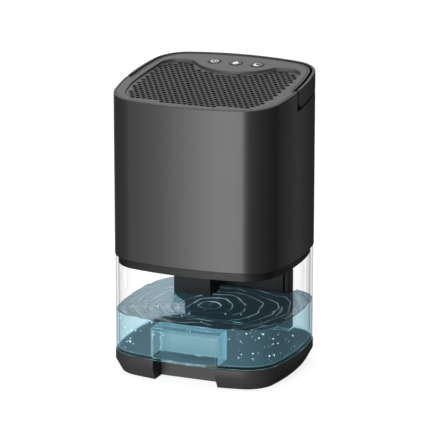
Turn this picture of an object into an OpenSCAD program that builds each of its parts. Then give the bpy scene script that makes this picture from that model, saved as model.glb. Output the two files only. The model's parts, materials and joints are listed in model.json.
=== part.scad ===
// Table dehumidifier: a cooled head on a rear column, over a clear water tank that pulls out of a base.
// The front faces -Y. The origin is at the middle of the footprint, on the table.

/* [Body] */
// Width across the sides
body_w = 138; // [120:1:170]
// Depth from front to back
body_d = 124.2; // [112:1:150]
// Radius of the upright corners
corner_r = 27.5; // [22:0.5:32]
// How far the front and the back bow out
front_bow = 4.1; // [2:0.1:6]
// How far the sides bow out
side_bow = 2.8; // [1.5:0.1:5]
// Height of the base above the table
base_top_z = 16.7; // [14:0.1:24]
// Height of the joint between the tank and the head
seam_z = 91.2; // [84:0.1:130]
// Height of the top face over the middle of the body
top_z = 220.4; // [216:0.1:270]
// Slope of the top face, rising to the back, in degrees
top_tilt = 7.05; // [0:0.05:9]
// Wall of the head casing
casing_wall = 1.8; // [1.4:0.1:3]

/* [Top panel and grille] */
// Thickness of the top panel
panel_t = 2.4; // [1.8:0.1:3.5]
// Thickness of the outlet grille
grille_t = 1.6; // [1.2:0.1:2.5]
// Depth of the grille below the panel at its back edge
grille_drop = 1.7; // [1:0.1:4]
// Radius of one grille hole
grille_hole_r = 1.85; // [1:0.05:1.9]
// Distance between grille holes
grille_pitch = 4.55; // [4.2:0.05:7]
// Radius of a button cap
button_r = 5.6; // [4:0.1:6.8]
// Distance between two buttons
button_pitch = 17.3; // [15:0.1:19]
// Travel of a button
button_travel = 0.6; // [0.3:0.1:0.8]

/* [Handle] */
// Thickness of the handle band
handle_t = 2.3; // [2.2:0.1:3]
// Height of the handle band
handle_h = 14; // [12:0.5:18]
// Slot between the handle and the head
handle_slot = 1.8; // [1.8:0.1:2.4]
// Radius of a handle pin
handle_pin_r = 2; // [1.5:0.1:2.5]

/* [Tank] */
// Wall of the clear tank
tank_wall = 2; // [1.5:0.1:3]
// Depth of the finger pocket
pocket_d = 18; // [12:0.5:22]
// Width of the finger pocket
pocket_w = 50; // [36:1:60]
// Height of the finger pocket above the base
pocket_h = 23; // [15:0.5:30]
// Travel of the float
float_travel = 8; // [4:0.5:10]

/* [Cooling] */
// Width of the square fan
fan_w = 80; // [66:1:84]
// Thickness of the fan
fan_h = 25; // [15:1:25]
// Height of the hot fins
hot_fin_h = 29; // [20:1:32]
// Side of the square cooling module
module_w = 40; // [30:1:40]

/* [Hidden] */
$fn = 48;
big = 400;            // larger than the whole object
fit = 0.15;           // gap round a piece that is fixed in place
run = 0.05;           // radial gap of a pin that turns
slide_gap = 0.3;      // gap round a piece that slides past another

// Rounded body outline: four bowed sides joined by four corner arcs, moved inwards by t.
corner_x = body_w / 2 - side_bow - corner_r;
corner_y = body_d / 2 - front_bow - corner_r;
side_r = (corner_y * corner_y + side_bow * side_bow) / (2 * side_bow);
front_r = (corner_x * corner_x + front_bow * front_bow) / (2 * front_bow);
side_a = asin(corner_y / side_r);
front_a = asin(corner_x / front_r);
function arc(c, r, a0, a1, n) =
    [for (i = [0 : n - 1]) let (a = a0 + (a1 - a0) * i / n) [c[0] + r * cos(a), c[1] + r * sin(a)]];
function outline(t) = concat(
    arc([body_w / 2 - corner_r - side_r, 0], side_r + corner_r - t, -side_a, side_a, 8),
    arc([corner_x, corner_y], corner_r - t, side_a, 90 - front_a, 14),
    arc([0, body_d / 2 - corner_r - front_r], front_r + corner_r - t, 90 - front_a, 90 + front_a, 10),
    arc([-corner_x, corner_y], corner_r - t, 90 + front_a, 180 - side_a, 14),
    arc([corner_r + side_r - body_w / 2, 0], side_r + corner_r - t, 180 - side_a, 180 + side_a, 8),
    arc([-corner_x, -corner_y], corner_r - t, 180 + side_a, 270 - front_a, 14),
    arc([0, corner_r + front_r - body_d / 2], front_r + corner_r - t, 270 - front_a, 270 + front_a, 10),
    arc([corner_x, -corner_y], corner_r - t, 270 + front_a, 360 - side_a, 14)
);
module prism(t, z0, z1) {
    translate([0, 0, z0]) linear_extrude(z1 - z0) polygon(outline(t));
}
// A block that spans x0 to x1, y0 to y1 and z0 to z1.
module block(x0, x1, y0, y1, z0, z1) {
    translate([x0, y0, z0]) cube([x1 - x0, y1 - y0, z1 - z0]);
}
// Places its children in the sloping top face, with its own z along the face's normal.
module on_top(x = 0, y = 0, d = 0) {
    translate([x, y, top_z + y * tan(top_tilt)]) rotate([top_tilt, 0, 0]) translate([0, 0, d]) children();
}
// Everything between two depths below the top face.
module slab(d0, d1) {
    on_top(0, 0, d0) translate([-big / 2, -big / 2, 0]) cube([big, big, d1 - d0]);
}
// A screw that points down, with its head's seat at z = 0.
module screw(shank_r, length, head_r, head_h) {
    difference() {
        union() {
            translate([0, 0, -length]) cylinder(r = shank_r, h = length + 0.1);
            cylinder(r = head_r, h = head_h);
        }
        translate([0, 0, head_h - 0.8]) cylinder(r = head_r * 0.42, h = 2, $fn = 6);
    }
}

// Handle
recess_front_y = -7.4;
pivot_y = 2.2;
pivot_drop = 6.7;
pivot_z = top_z + pivot_y * tan(top_tilt) - pivot_drop;
ear_r = 8.2;
recess_depth = handle_t + handle_slot;
recess_drop = handle_h + 1.3;
liner_t = 1.5;
pivot_x = body_w / 2;
ear_skin = 0.9;
boss_r = 4.1;
boss_h = 2.2;
pin_flange_h = 1;
pin_flange_r = 3.5;
pin_in_x = pivot_x - recess_depth - liner_t - boss_h;

// Top panel and grille
panel_front_in = casing_wall + fit;
panel_rear_in = recess_depth + liner_t + fit;
panel_step_y = recess_front_y - liner_t - fit;
ledge_w = 2;
ledge_t = 2.2;
well_wall = 1;
well_lip = 1.2;
grille_sink = 0.3;
grille_front_y = -body_d / 2 + 6.7;
grille_back_y = body_d / 2 - 23.1;
grille_in = 10;
grille_back_corner = 12;
bay_y = grille_back_y - 17.5;
bay_r = 40;
lobe_r = 8;
lobe_x = sqrt(pow(bay_r + lobe_r, 2) - pow(bay_y + bay_r - (grille_back_y - lobe_r), 2));
grille_tilt = atan(grille_drop / (grille_back_y - grille_front_y));
button_y = body_d / 2 - 21.3;
flange_r = button_r + 1;
light_y = button_y - flange_r - 1.8;
light_r = 0.7;
board_drop = 10;
board_t = 1.6;
board_d = 20;
board_front = 12;
board_post_r = 2.6;
board_screw_x = button_pitch + flange_r + board_post_r + 0.5;
board_w = 2 * (board_screw_x + 4);
stem_r = 2;
stem_end = 5;
switch_w = 6;
switch_h = 2.2;

// Head and cooling parts
floor_z0 = seam_z + 0.2;
floor_t = 2.4;
floor_z1 = floor_z0 + floor_t;
module_t = 3.8;
hot_z0 = floor_z1 + 49;
hot_base_t = 6;
hot_w = 92;
hot_d = 78;
hot_z1 = hot_z0 + hot_base_t + hot_fin_h;
cold_z1 = hot_z0 - module_t;
cold_base_t = 4;
cold_fin_h = 20;
cold_w = 64;
cold_d = 60;
fan_z0 = hot_z1 + 0.2;
fan_hole = fan_w / 2 - 4.25;
fan_bore_r = fan_w / 2 - 1.8;
hub_r = 15;
shaft_r = 1.5;
post_x = 42;
post_y = 33;
post_r = 4.5;
screw_r = 1.5;
pilot_r = 1.52;
clearance_r = 1.7;
case_screw_x = body_w / 2 - 6.5;
case_screw_y = 20;
head_sink = 1.3;      // depth of the sunk heads under the floor
sunk_head_h = 1.2;
clamp_x = 27;
drip_x = 0;
drip_y = 0;
seal_r = 7;
spout_r = 4;
tray_w = 73;
tray_d = 66;
tray_z0 = floor_z1 + 4.2;
tray_h = 14;
tray_wall = 1.5;
tray_foot_x = 30;
tray_foot_y = 14;
reed_x0 = -33;
reed_x1 = -23;
reed_y0 = 20;
reed_y1 = 29;
reed_post_h = 1.2;
reed_h = 2.4;
vent_count = 9;
vent_pitch = 4.6;
vent_w = 2.4;
vent_half = 24;

// Column
column_half = 41;
column_y = body_d / 2 - 14.6;
column_wall = 2;
flange_t = 3;
column_screw_x = 25;
column_screw_y = column_y + 7.5;
cover_in = 2;
jack_z = 30;
jack_r = 3.2;
lead_r = 1.5;
lead_y = column_y + 8;
lead_x = 10;
lead_reach = 9;
lead_end_y = lead_y - lead_reach;
liner_low = top_z + lead_y * tan(top_tilt) - (recess_drop + liner_t) / cos(top_tilt);
lead_top = min(fan_z0 + fan_h + 5, liner_low - lead_r - 0.7);
jack_half = 5.5;
jack_len = 10;

// Base
foot_h = 0.8;
foot_r = 6;
foot_x = body_w / 2 - 25;
foot_y = body_d / 2 - 24;
chamfer_z = 9.8;
chamfer_in = 4.8;
base_wall = 2.4;
base_skin = chamfer_in + base_wall;
cover_t = 2;
light_board_z = 8;
light_board_w = 28;
light_board_d = 22;
light_post_r = 2;
lamp_half = 1.4;
lamp_pitch = 5;
lens_rim = 1.5;
base_screw_x = body_w / 2 - 17;
base_screw_y = 16;
lens_r = 8;
lens_y = 8;
pocket_y = -body_d / 2 + pocket_d;

// Tank and float
tank_out = 0.5;
tank_z0 = base_top_z + slide_gap;
tank_z1 = seam_z - slide_gap - 0.1;
tank_floor = 2.2;
rest_w = 3;
rest_in = 1.8;
rest_x = body_w / 2 - tank_out - side_bow / 2;
rest_z0 = tank_z0 + 40;
rest_y = 20;
lid_skirt = 6;
lid_t = 2;
lid_z1 = tank_z1 - 0.3;
lid_in = tank_out + tank_wall + slide_gap;
notch_gap = 1;
notch_half = column_half + notch_gap;
notch_y = column_y - notch_gap;
cage_y0 = 14;
cage_y1 = 34;
cage_x0 = -40;
cage_x1 = -10;
cage_z0 = seam_z - 51;
cage_wall = 1.6;
float_gap = 1;

module panel_shape(t) {
    polygon(outline(panel_rear_in + t));
    intersection() {
        polygon(outline(panel_front_in + t));
        translate([-big / 2, panel_step_y - t - big]) square([big, big]);
    }
}
module panel_prism(t) {
    translate([0, 0, seam_z]) linear_extrude(big) panel_shape(t);
}
// Outline of the grille: bowed front and sides, and a back edge that swings forward round the buttons.
function grille_outline(t) = let (
        fx = body_w / 2 - grille_in - t,
        fy = grille_front_y + t,
        by = grille_back_y - t,
        r = corner_r - 5.5 - t,
        rb = grille_back_corner - t,
        bow = side_bow * 0.8,
        bay = bay_r + t,
        lobe = lobe_r - t,
        a = atan2(bay_y + bay_r - (grille_back_y - lobe_r), lobe_x)
    ) concat(
        arc([fx - bow - r, fy + front_bow * 0.6 + r], r, 270 + 7, 360 - 5, 12),
        [[fx - 0.3, (fy + by) / 2 - 12], [fx, (fy + by) / 2], [fx - 0.6, (fy + by) / 2 + 14]],
        arc([fx - bow - rb, by - rb], rb, 5, 90, 10),
        arc([lobe_x, grille_back_y - lobe_r], lobe, 90, 180 - a, 6),
        arc([0, bay_y + bay_r], bay, -a, a - 180, 18),
        arc([-lobe_x, grille_back_y - lobe_r], lobe, a, 90, 6),
        arc([bow + rb - fx, by - rb], rb, 90, 175, 10),
        [[0.6 - fx, (fy + by) / 2 + 14], [-fx, (fy + by) / 2], [0.3 - fx, (fy + by) / 2 - 12]],
        arc([bow + r - fx, fy + front_bow * 0.6 + r], r, 180 + 5, 270 - 7, 12),
        [[-20, fy + 0.7], [0, fy], [20, fy + 0.7]]
    );
// Places its children in the grille's own plane, which meets the top face at the grille's front edge.
module on_grille() {
    translate([0, grille_front_y, top_z + grille_front_y * tan(top_tilt)])
        rotate([top_tilt - grille_tilt, 0, 0]) children();
}
function in_grille(x, y) =
    y > grille_front_y + 3.4 + abs(x) * abs(x) / 900 && y < grille_back_y - 3
    && abs(x) < body_w / 2 - grille_in - 3.2
    && norm([x, y - bay_y - bay_r]) > bay_r + 2.6
    && (abs(x) < 36 || y > -29 || norm([abs(x) - 34, y + 31]) < 20.5)
    && (abs(x) < 44 || y < 26 || norm([abs(x) - 44, y - 27]) < 9);

module handle_recess(d) {
    difference() {
        intersection() {
            prism(-1, seam_z, seam_z + big);
            slab(-recess_drop, big / 4);
            block(-big / 2, big / 2, recess_front_y - d, big, 0, big);
        }
        prism(recess_depth + d, seam_z - 1, seam_z + big + 1);
    }
}
module head_casing() {
    color([0.20, 0.20, 0.21]) difference() {
        union() {
            difference() {
                prism(0, seam_z, top_z + 20);
                prism(casing_wall, seam_z - 1, top_z + 21);
            }
            // Wall and ledge behind the handle
            intersection() {
                difference() {
                    prism(0.5, seam_z + 60, top_z + 20);
                    prism(recess_depth + liner_t, seam_z + 59, top_z + 21);
                }
                slab(-recess_drop - liner_t, 20);
                block(-big / 2, big / 2, recess_front_y - liner_t, big, 0, big);
            }
            // Ledge that the top panel sits on
            intersection() {
                difference() {
                    prism(0.5, seam_z + 60, top_z + 20);
                    panel_prism(ledge_w);
                }
                slab(-panel_t - ledge_t, -panel_t);
            }
            for (s = [-1, 1]) {
                translate([s * pin_in_x, pivot_y, pivot_z]) rotate([0, s * 90, 0])
                    cylinder(r = boss_r, h = pivot_x - recess_depth - 0.4 - pin_in_x);
                for (y = [-case_screw_y, case_screw_y])
                    translate([s * case_screw_x, y, floor_z1]) cylinder(r = 4.5, h = 16);
            }
        }
        slab(0, big / 2);
        handle_recess(0);
        for (s = [-1, 1]) {
            translate([s * (pin_in_x - 1), pivot_y, pivot_z]) rotate([0, s * 90, 0])
                cylinder(r = handle_pin_r + run, h = 20);
            for (y = [-case_screw_y, case_screw_y])
                translate([s * case_screw_x, y, floor_z1 - 1]) cylinder(r = pilot_r, h = 13);
        }
        for (i = [0 : vent_count - 1])
            block(-vent_half, vent_half, body_d / 2 - 8, body_d, cold_z1 - 28 + i * vent_pitch,
                cold_z1 - 28 + i * vent_pitch + vent_w);
    }
}
module top_panel() {
    color([0.30, 0.30, 0.31]) difference() {
        union() {
            intersection() {
                panel_prism(0);
                slab(-panel_t, 0);
            }
            // Wall and lip that hold the grille
            intersection() {
                translate([0, 0, seam_z]) linear_extrude(big) polygon(grille_outline(-well_wall));
                slab(-20, -0.5);
                on_grille() translate([0, 0, -grille_t - grille_sink - well_lip])
                    block(-big, big, -big, big, 0, big);
            }
            // Posts that hold the control board
            for (s = [-1, 1]) on_top(s * board_screw_x, button_y, -board_drop + board_t)
                cylinder(r = board_post_r, h = board_drop - board_t - 1);
        }
        intersection() {
            translate([0, 0, seam_z]) linear_extrude(big) polygon(grille_outline(0));
            on_grille() translate([0, 0, -grille_t - grille_sink]) block(-big, big, -big, big, 0, big);
        }
        translate([0, 0, seam_z]) linear_extrude(big) polygon(grille_outline(well_lip));
        for (i = [-1 : 1]) {
            on_top(i * button_pitch, button_y, -6) cylinder(r = button_r + 0.1, h = 12);
            on_top(i * button_pitch, light_y, -6) cylinder(r = light_r + 0.05, h = 12);
        }
        for (s = [-1, 1]) on_top(s * board_screw_x, button_y, -board_drop - 1) cylinder(r = 1.02, h = 7);
    }
}
module outlet_grille() {
    color([0.27, 0.27, 0.28]) intersection() {
        translate([0, 0, seam_z]) linear_extrude(big) polygon(grille_outline(fit));
        on_grille() translate([0, 0, -grille_t - grille_sink]) linear_extrude(grille_t) difference() {
            translate([-body_w / 2, -10]) square([body_w, body_d]);
            for (row = [0 : 24], col = [-14 : 14])
                let (
                    x = (col + (row % 2) / 2) * grille_pitch,
                    y = grille_front_y + row * grille_pitch * sin(60)
                )
                    if (in_grille(x, y))
                        translate([x, y - grille_front_y]) circle(r = grille_hole_r, $fn = 20);
        }
    }
}
module head_floor() {
    color([0.16, 0.16, 0.17]) difference() {
        union() {
            prism(casing_wall + fit, floor_z0, floor_z1);
            for (x = [-post_x, post_x], y = [-post_y, post_y])
                translate([x, y, floor_z1 - 1]) cylinder(r = post_r, h = hot_z0 - floor_z1 + 1);
            block(reed_x0 - 1, reed_x1 + 1, reed_y0, reed_y1, floor_z1 - 0.5, floor_z1 + reed_post_h);
        }
        translate([drip_x, drip_y, floor_z0 - 1]) cylinder(r = spout_r + 1.6, h = 5);
        for (x = [-post_x, post_x], y = [-post_y, post_y])
            translate([x, y, hot_z0 - 14]) cylinder(r = pilot_r, h = 15);
        for (x = [-case_screw_x, case_screw_x], y = [-case_screw_y, case_screw_y])
            translate([x, y, floor_z0 - 1]) {
                cylinder(r = clearance_r, h = 5);
                cylinder(r = 2.9, h = 1 + head_sink);
            }
        for (x = [-column_screw_x, column_screw_x])
            translate([x, column_screw_y, floor_z0 - 1]) cylinder(r = clearance_r, h = 5);
        translate([lead_x, lead_y, floor_z0 - 1]) cylinder(r = lead_r + 1, h = 5);
    }
}
module rear_column() {
    color([0.13, 0.13, 0.14]) difference() {
        intersection() {
            union() {
                prism(0, base_top_z, seam_z);
                prism(casing_wall + fit, seam_z - 1, floor_z0);
            }
            block(-column_half, column_half, column_y, big, 0, big);
        }
        block(-column_half + column_wall, column_half - column_wall, column_y + column_wall, big,
            base_top_z + flange_t, floor_z0 - flange_t);
        for (x = [-column_screw_x, column_screw_x]) {
            translate([x, column_screw_y, base_top_z - 1]) cylinder(r = pilot_r, h = 5);
            translate([x, column_screw_y, floor_z0 - 4]) cylinder(r = pilot_r, h = 5);
        }
        translate([lead_x, lead_y, floor_z0 - 4]) cylinder(r = lead_r + 1, h = 5);
    }
}
module column_cover() {
    color([0.15, 0.15, 0.16]) difference() {
        intersection() {
            difference() {
                prism(0, base_top_z + flange_t + fit, floor_z0 - flange_t - fit);
                prism(cover_in, base_top_z, floor_z0);
            }
            block(-column_half + column_wall + fit, column_half - column_wall - fit, column_y, big, 0, big);
        }
        translate([0, body_d / 2 - 10, jack_z]) rotate([-90, 0, 0]) cylinder(r = jack_r + 1, h = 20);
    }
}
module dc_jack() {
    color([0.08, 0.08, 0.08]) difference() {
        union() {
            translate([0, body_d / 2 - cover_in - jack_len, jack_z]) rotate([-90, 0, 0])
                cylinder(r = jack_r + 0.9, h = jack_len + cover_in - 0.3);
            block(-jack_half, jack_half, body_d / 2 - cover_in - jack_len - 0.5, body_d / 2 - cover_in - 0.4,
                jack_z - jack_half, jack_z + jack_half);
        }
        translate([0, body_d / 2 - cover_in - 8, jack_z]) rotate([-90, 0, 0]) difference() {
            cylinder(r = jack_r - 0.4, h = 20);
            translate([0, 0, -1]) cylinder(r = 1.05, h = 9);
        }
    }
}
module power_lead() {
    lead_end_z = top_z + lead_end_y * tan(top_tilt) - board_drop / cos(top_tilt) - 0.3;
    color([0.7, 0.1, 0.1]) {
        translate([jack_half, lead_y, jack_z]) rotate([0, 90, 0])
            cylinder(r = lead_r, h = lead_x - jack_half);
        translate([lead_x, lead_y, jack_z]) sphere(r = lead_r);
        translate([lead_x, lead_y, jack_z]) cylinder(r = lead_r, h = lead_top - jack_z);
        translate([lead_x, lead_y, lead_top]) sphere(r = lead_r);
        translate([lead_x, lead_y, lead_top]) rotate([90, 0, 0]) cylinder(r = lead_r, h = lead_reach);
        translate([lead_x, lead_end_y, lead_top]) sphere(r = lead_r);
        translate([lead_x, lead_end_y, lead_top]) cylinder(r = lead_r, h = lead_end_z - lead_top);
    }
}
module base_tray() {
    color([0.19, 0.19, 0.20]) difference() {
        union() {
            prism(0, chamfer_z, base_top_z);
            hull() {
                prism(chamfer_in, foot_h, foot_h + 0.01);
                prism(0, chamfer_z, chamfer_z + 0.01);
            }
        }
        difference() {
            prism(base_skin, -1, base_top_z - base_wall);
            block(-pocket_w / 2 - base_wall, pocket_w / 2 + base_wall, -big, pocket_y + base_wall, -2, big);
            for (x = [-base_screw_x, base_screw_x], y = [-base_screw_y, base_screw_y])
                translate([x, y, foot_h + cover_t]) cylinder(r = 4, h = big);
            for (x = [-column_screw_x, column_screw_x])
                translate([x, column_screw_y, 6]) cylinder(r = 4.5, h = big);
        }
        block(-pocket_w / 2, pocket_w / 2, -big, pocket_y, -1, big);
        for (x = [-base_screw_x, base_screw_x], y = [-base_screw_y, base_screw_y])
            translate([x, y, 0]) cylinder(r = pilot_r, h = 12);
        for (x = [-column_screw_x, column_screw_x]) translate([x, column_screw_y, 0]) {
            cylinder(r = clearance_r, h = big);
            cylinder(r = 3.2, h = 10);
        }
        translate([0, lens_y, 5]) cylinder(r = lens_r + fit, h = big);
    }
}
module base_cover() {
    color([0.12, 0.12, 0.12]) difference() {
        union() {
            prism(base_skin + fit, foot_h, foot_h + cover_t);
            // Posts under the light board
            for (x = [-1, 1], y = [-1, 1])
                translate([x * (light_board_w / 2 - 3), lens_y + y * (light_board_d / 2 - 3), foot_h + 1])
                    cylinder(r = light_post_r, h = light_board_z - foot_h - 1);
        }
        block(-pocket_w / 2 - base_wall - fit, pocket_w / 2 + base_wall + fit,
            -big, pocket_y + base_wall + fit, -2, big);
        for (x = [-base_screw_x, base_screw_x], y = [-base_screw_y, base_screw_y])
            translate([x, y, -1]) cylinder(r = clearance_r, h = 10);
        for (x = [-foot_x, foot_x], y = [-foot_y, foot_y])
            translate([x, y, -1]) cylinder(r = foot_r + 0.1, h = 1 + foot_h + 1.4);
        block(-column_screw_x - 5.5, column_screw_x + 5.5, column_screw_y - 5.5, big, -1, 10);
    }
}
module rubber_feet() {
    color([0.05, 0.05, 0.05]) for (x = [-foot_x, foot_x], y = [-foot_y, foot_y])
        translate([x, y, 0]) cylinder(r = foot_r, h = foot_h + 1.4);
}
module tank_light_board() {
    color([0.1, 0.35, 0.2]) {
        block(-light_board_w / 2, light_board_w / 2, lens_y - light_board_d / 2, lens_y + light_board_d / 2,
            light_board_z, light_board_z + board_t);
        for (i = [-1 : 1]) block(i * lamp_pitch - lamp_half, i * lamp_pitch + lamp_half, lens_y - lamp_half,
            lens_y + lamp_half, light_board_z + board_t, light_board_z + board_t + 1.2);
    }
}
module tank_light_lens() {
    color([0.85, 0.93, 0.96]) translate([0, lens_y, light_board_z + board_t]) difference() {
        union() {
            cylinder(r = lens_r, h = base_top_z - light_board_z - board_t - 0.1);
            cylinder(r = lens_r + lens_rim, h = base_top_z - base_wall - light_board_z - board_t - 0.1);
        }
        // Room for the lamps
        translate([0, 0, -1]) cylinder(r = lens_r - 0.5, h = 1 + 1.6);
    }
}
module heat_sink() {
    color([0.72, 0.73, 0.75]) difference() {
        union() {
            block(-hot_w / 2, hot_w / 2, -hot_d / 2, hot_d / 2, hot_z0, hot_z0 + hot_base_t);
            for (i = [-6.5 : 6.5]) block(i * 4 - 0.6, i * 4 + 0.6, -hot_d / 2, hot_d / 2, hot_z0 + 1, hot_z1);
            for (x = [-fan_hole, fan_hole], y = [-fan_hole, fan_hole])
                translate([x, y, hot_z0 + 1]) cylinder(r = 3.2, h = hot_z1 - hot_z0 - 1);
        }
        for (x = [-post_x, post_x], y = [-post_y, post_y])
            translate([x, y, hot_z0 - 1]) cylinder(r = clearance_r, h = 10);
        for (x = [-fan_hole, fan_hole], y = [-fan_hole, fan_hole])
            translate([x, y, hot_z1 - 12]) cylinder(r = pilot_r, h = 13);
        for (s = [-1, 1]) translate([s * clamp_x, 0, hot_z0 - 1]) cylinder(r = pilot_r, h = 5.5);
    }
}
module peltier_module() {
    color([0.93, 0.93, 0.91])
        block(-module_w / 2, module_w / 2, -module_w / 2, module_w / 2, cold_z1, hot_z0);
}
module foam_gasket() {
    color([0.25, 0.25, 0.26]) difference() {
        block(-cold_w / 2, cold_w / 2, -cold_d / 2, cold_d / 2, cold_z1, hot_z0);
        block(-module_w / 2 - fit, module_w / 2 + fit, -module_w / 2 - fit, module_w / 2 + fit, 0, big);
        for (s = [-1, 1]) translate([s * clamp_x, 0, cold_z1 - 1]) cylinder(r = clearance_r, h = 10);
    }
}
module cold_plate() {
    color([0.80, 0.81, 0.83]) difference() {
        union() {
            block(-cold_w / 2, cold_w / 2, -cold_d / 2, cold_d / 2, cold_z1 - cold_base_t, cold_z1);
            for (i = [-5 : 5]) block(i * 4 - 0.6, i * 4 + 0.6, -cold_d / 2, cold_d / 2,
                cold_z1 - cold_base_t - cold_fin_h, cold_z1 - 1);
        }
        for (s = [-1, 1]) translate([s * clamp_x, 0, cold_z1 - 10]) cylinder(r = clearance_r, h = 20);
    }
}
module drip_tray() {
    color([0.88, 0.88, 0.86]) difference() {
        union() {
            block(-tray_w / 2, tray_w / 2, -tray_d / 2, tray_d / 2, tray_z0, tray_z0 + tray_h);
            translate([drip_x, drip_y, floor_z0 + 0.2]) cylinder(r = spout_r, h = tray_z0 - floor_z0 + 1);
            for (x = [-tray_foot_x, tray_foot_x], y = [-tray_foot_y, tray_foot_y])
                translate([x, y, floor_z1]) cylinder(r = 3, h = tray_z0 - floor_z1 + 0.5);
        }
        block(-tray_w / 2 + tray_wall, tray_w / 2 - tray_wall,
            -tray_d / 2 + tray_wall, tray_d / 2 - tray_wall, tray_z0 + tray_wall, big);
        translate([drip_x, drip_y, floor_z0 - 1]) cylinder(r = spout_r - 1.2, h = 20);
    }
}
module reed_switch() {
    color([0.55, 0.60, 0.55]) block(reed_x0 + 1, reed_x1 - 1, reed_y0 + 1, reed_y1 - 1,
        floor_z1 + reed_post_h, floor_z1 + reed_post_h + reed_h);
}
module fan_frame() {
    color([0.10, 0.10, 0.11]) translate([0, 0, fan_z0]) difference() {
        union() {
            difference() {
                translate([-fan_w / 2, -fan_w / 2, 0]) cube([fan_w, fan_w, fan_h]);
                translate([0, 0, -1]) cylinder(r = fan_bore_r, h = fan_h + 2, $fn = 96);
            }
            cylinder(r = hub_r, h = 2.5);
            for (a = [45 : 90 : 315]) rotate([0, 0, a]) translate([hub_r - 2, -1.5, 0])
                cube([fan_bore_r - hub_r + 3.5, 3, 2.5]);
            translate([0, 0, 2]) cylinder(r = shaft_r, h = fan_h - 9);
        }
        for (x = [-fan_hole, fan_hole], y = [-fan_hole, fan_hole])
            translate([x, y, -1]) cylinder(r = clearance_r, h = fan_h + 2);
    }
}
module fan_rotor() {
    rotor_h = fan_h - 8;
    blade_pitch = 38;
    blade_t = 1.4;
    color([0.14, 0.14, 0.15]) translate([0, 0, fan_z0 + 3.5]) difference() {
        union() {
            cylinder(r = hub_r, h = rotor_h);
            for (i = [0 : 6]) rotate([0, 0, i * 360 / 7]) translate([hub_r - 1.5, 0, rotor_h / 2])
                rotate([blade_pitch, 0, 0]) translate([0, -rotor_h * 0.6, -blade_t / 2])
                    cube([fan_bore_r - hub_r - 0.6, rotor_h * 1.2, blade_t]);
        }
        translate([0, 0, -1]) cylinder(r = shaft_r + run, h = fan_h - 8.3);
    }
}
module button(i) {
    on_top(i * button_pitch, button_y) difference() {
        union() {
            translate([0, 0, -3.2]) cylinder(r = button_r, h = 3.4);
            translate([0, 0, -panel_t - 1.5]) cylinder(r = flange_r, h = 1.4);
            translate([0, 0, -stem_end]) cylinder(r = stem_r, h = 2.2);
        }
        // Shallow dish under the fingertip
        translate([0, 0, 14]) sphere(r = 14.05, $fn = 96);
    }
}
module power_button() { color([0.12, 0.12, 0.13]) button(-1); }
module mode_button() { color([0.12, 0.12, 0.13]) button(0); }
module night_button() { color([0.12, 0.12, 0.13]) button(1); }
module tact_switches() {
    color([0.3, 0.3, 0.3]) for (i = [-1 : 1]) on_top(i * button_pitch, button_y, -board_drop + board_t) {
        translate([-switch_w / 2, -switch_w / 2, 0]) cube([switch_w, switch_w, switch_h]);
        cylinder(r = 1.6, h = board_drop - board_t - stem_end - button_travel - 0.1);
    }
}
module light_pipes() {
    color([0.3, 0.5, 1]) for (i = [-1 : 1])
        on_top(i * button_pitch, light_y, -board_drop + board_t)
            cylinder(r = light_r, h = board_drop - board_t + 0.05);
}
module control_board() {
    color([0.1, 0.35, 0.2]) on_top(0, button_y, -board_drop) difference() {
        translate([-board_w / 2, -board_front, 0]) cube([board_w, board_d, board_t]);
        for (s = [-1, 1]) translate([s * board_screw_x, 0, -1]) cylinder(r = 1.25, h = 4);
    }
}
module board_screws() {
    color([0.6, 0.6, 0.62]) for (s = [-1, 1]) on_top(s * board_screw_x, button_y, -board_drop)
        rotate([180, 0, 0]) screw(1, 5, 2, 1.4);
}
module handle() {
    color([0.17, 0.17, 0.18]) difference() {
        intersection() {
            difference() {
                prism(0, seam_z, top_z + 20);
                prism(handle_t, seam_z - 1, top_z + 21);
            }
            slab(-handle_h, 0);
            union() {
                block(-big, big, pivot_y, big, 0, big);
                translate([-big / 2, pivot_y, pivot_z]) rotate([0, 90, 0])
                    cylinder(r = ear_r, h = big, $fn = 96);
            }
        }
        for (s = [-1, 1]) translate([s * (pivot_x - handle_t - 3), pivot_y, pivot_z]) rotate([0, s * 90, 0])
            cylinder(r = handle_pin_r + run, h = handle_t + 3 - ear_skin);
    }
}
module handle_pins() {
    color([0.75, 0.75, 0.77]) for (s = [-1, 1])
        translate([s * (pin_in_x - pin_flange_h), pivot_y, pivot_z]) rotate([0, s * 90, 0]) {
            cylinder(r = handle_pin_r, h = pivot_x - ear_skin - 0.1 - pin_in_x + pin_flange_h);
            cylinder(r = pin_flange_r, h = pin_flange_h);
        }
}
module handle_washers() {
    color([0.9, 0.9, 0.88]) for (s = [-1, 1])
        translate([s * (pivot_x - recess_depth + 0.1), pivot_y, pivot_z]) rotate([0, s * 90, 0])
        difference() {
            cylinder(r = boss_r, h = handle_slot - 0.3);
            translate([0, 0, -1]) cylinder(r = handle_pin_r + 0.03, h = 5);
        }
}
module tank_void(d) {
    // Room for the column at the back and the thumb above the floor's front, with walls of thickness d
    block(-notch_half - d, notch_half + d, notch_y - d, big, -1, big);
    block(-pocket_w / 2 - d, pocket_w / 2 + d,
        -big, pocket_y + d, tank_z0 + tank_floor - d, base_top_z + pocket_h + d);
}
module water_tank() {
    color([0.75, 0.88, 0.95, 0.4]) union() {
        difference() {
            prism(tank_out, tank_z0, tank_z1);
            difference() {
                prism(tank_out + tank_wall, tank_z0 + tank_floor, big);
                tank_void(tank_wall);
            }
            tank_void(0);
        }
        // Rests for the lid
        for (s = [0, 1], y = [-rest_y, rest_y]) mirror([s, 0, 0])
            block(rest_x - tank_wall - rest_in, rest_x,
                y - rest_w / 2, y + rest_w / 2, rest_z0, lid_z1 - lid_skirt - 0.05);
    }
}
module lid_shape(t) {
    difference() {
        polygon(outline(lid_in + t));
        translate([-notch_half - tank_wall - slide_gap - t, notch_y - tank_wall - slide_gap - t])
            square([2 * (notch_half + tank_wall + slide_gap + t), big]);
    }
}
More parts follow.
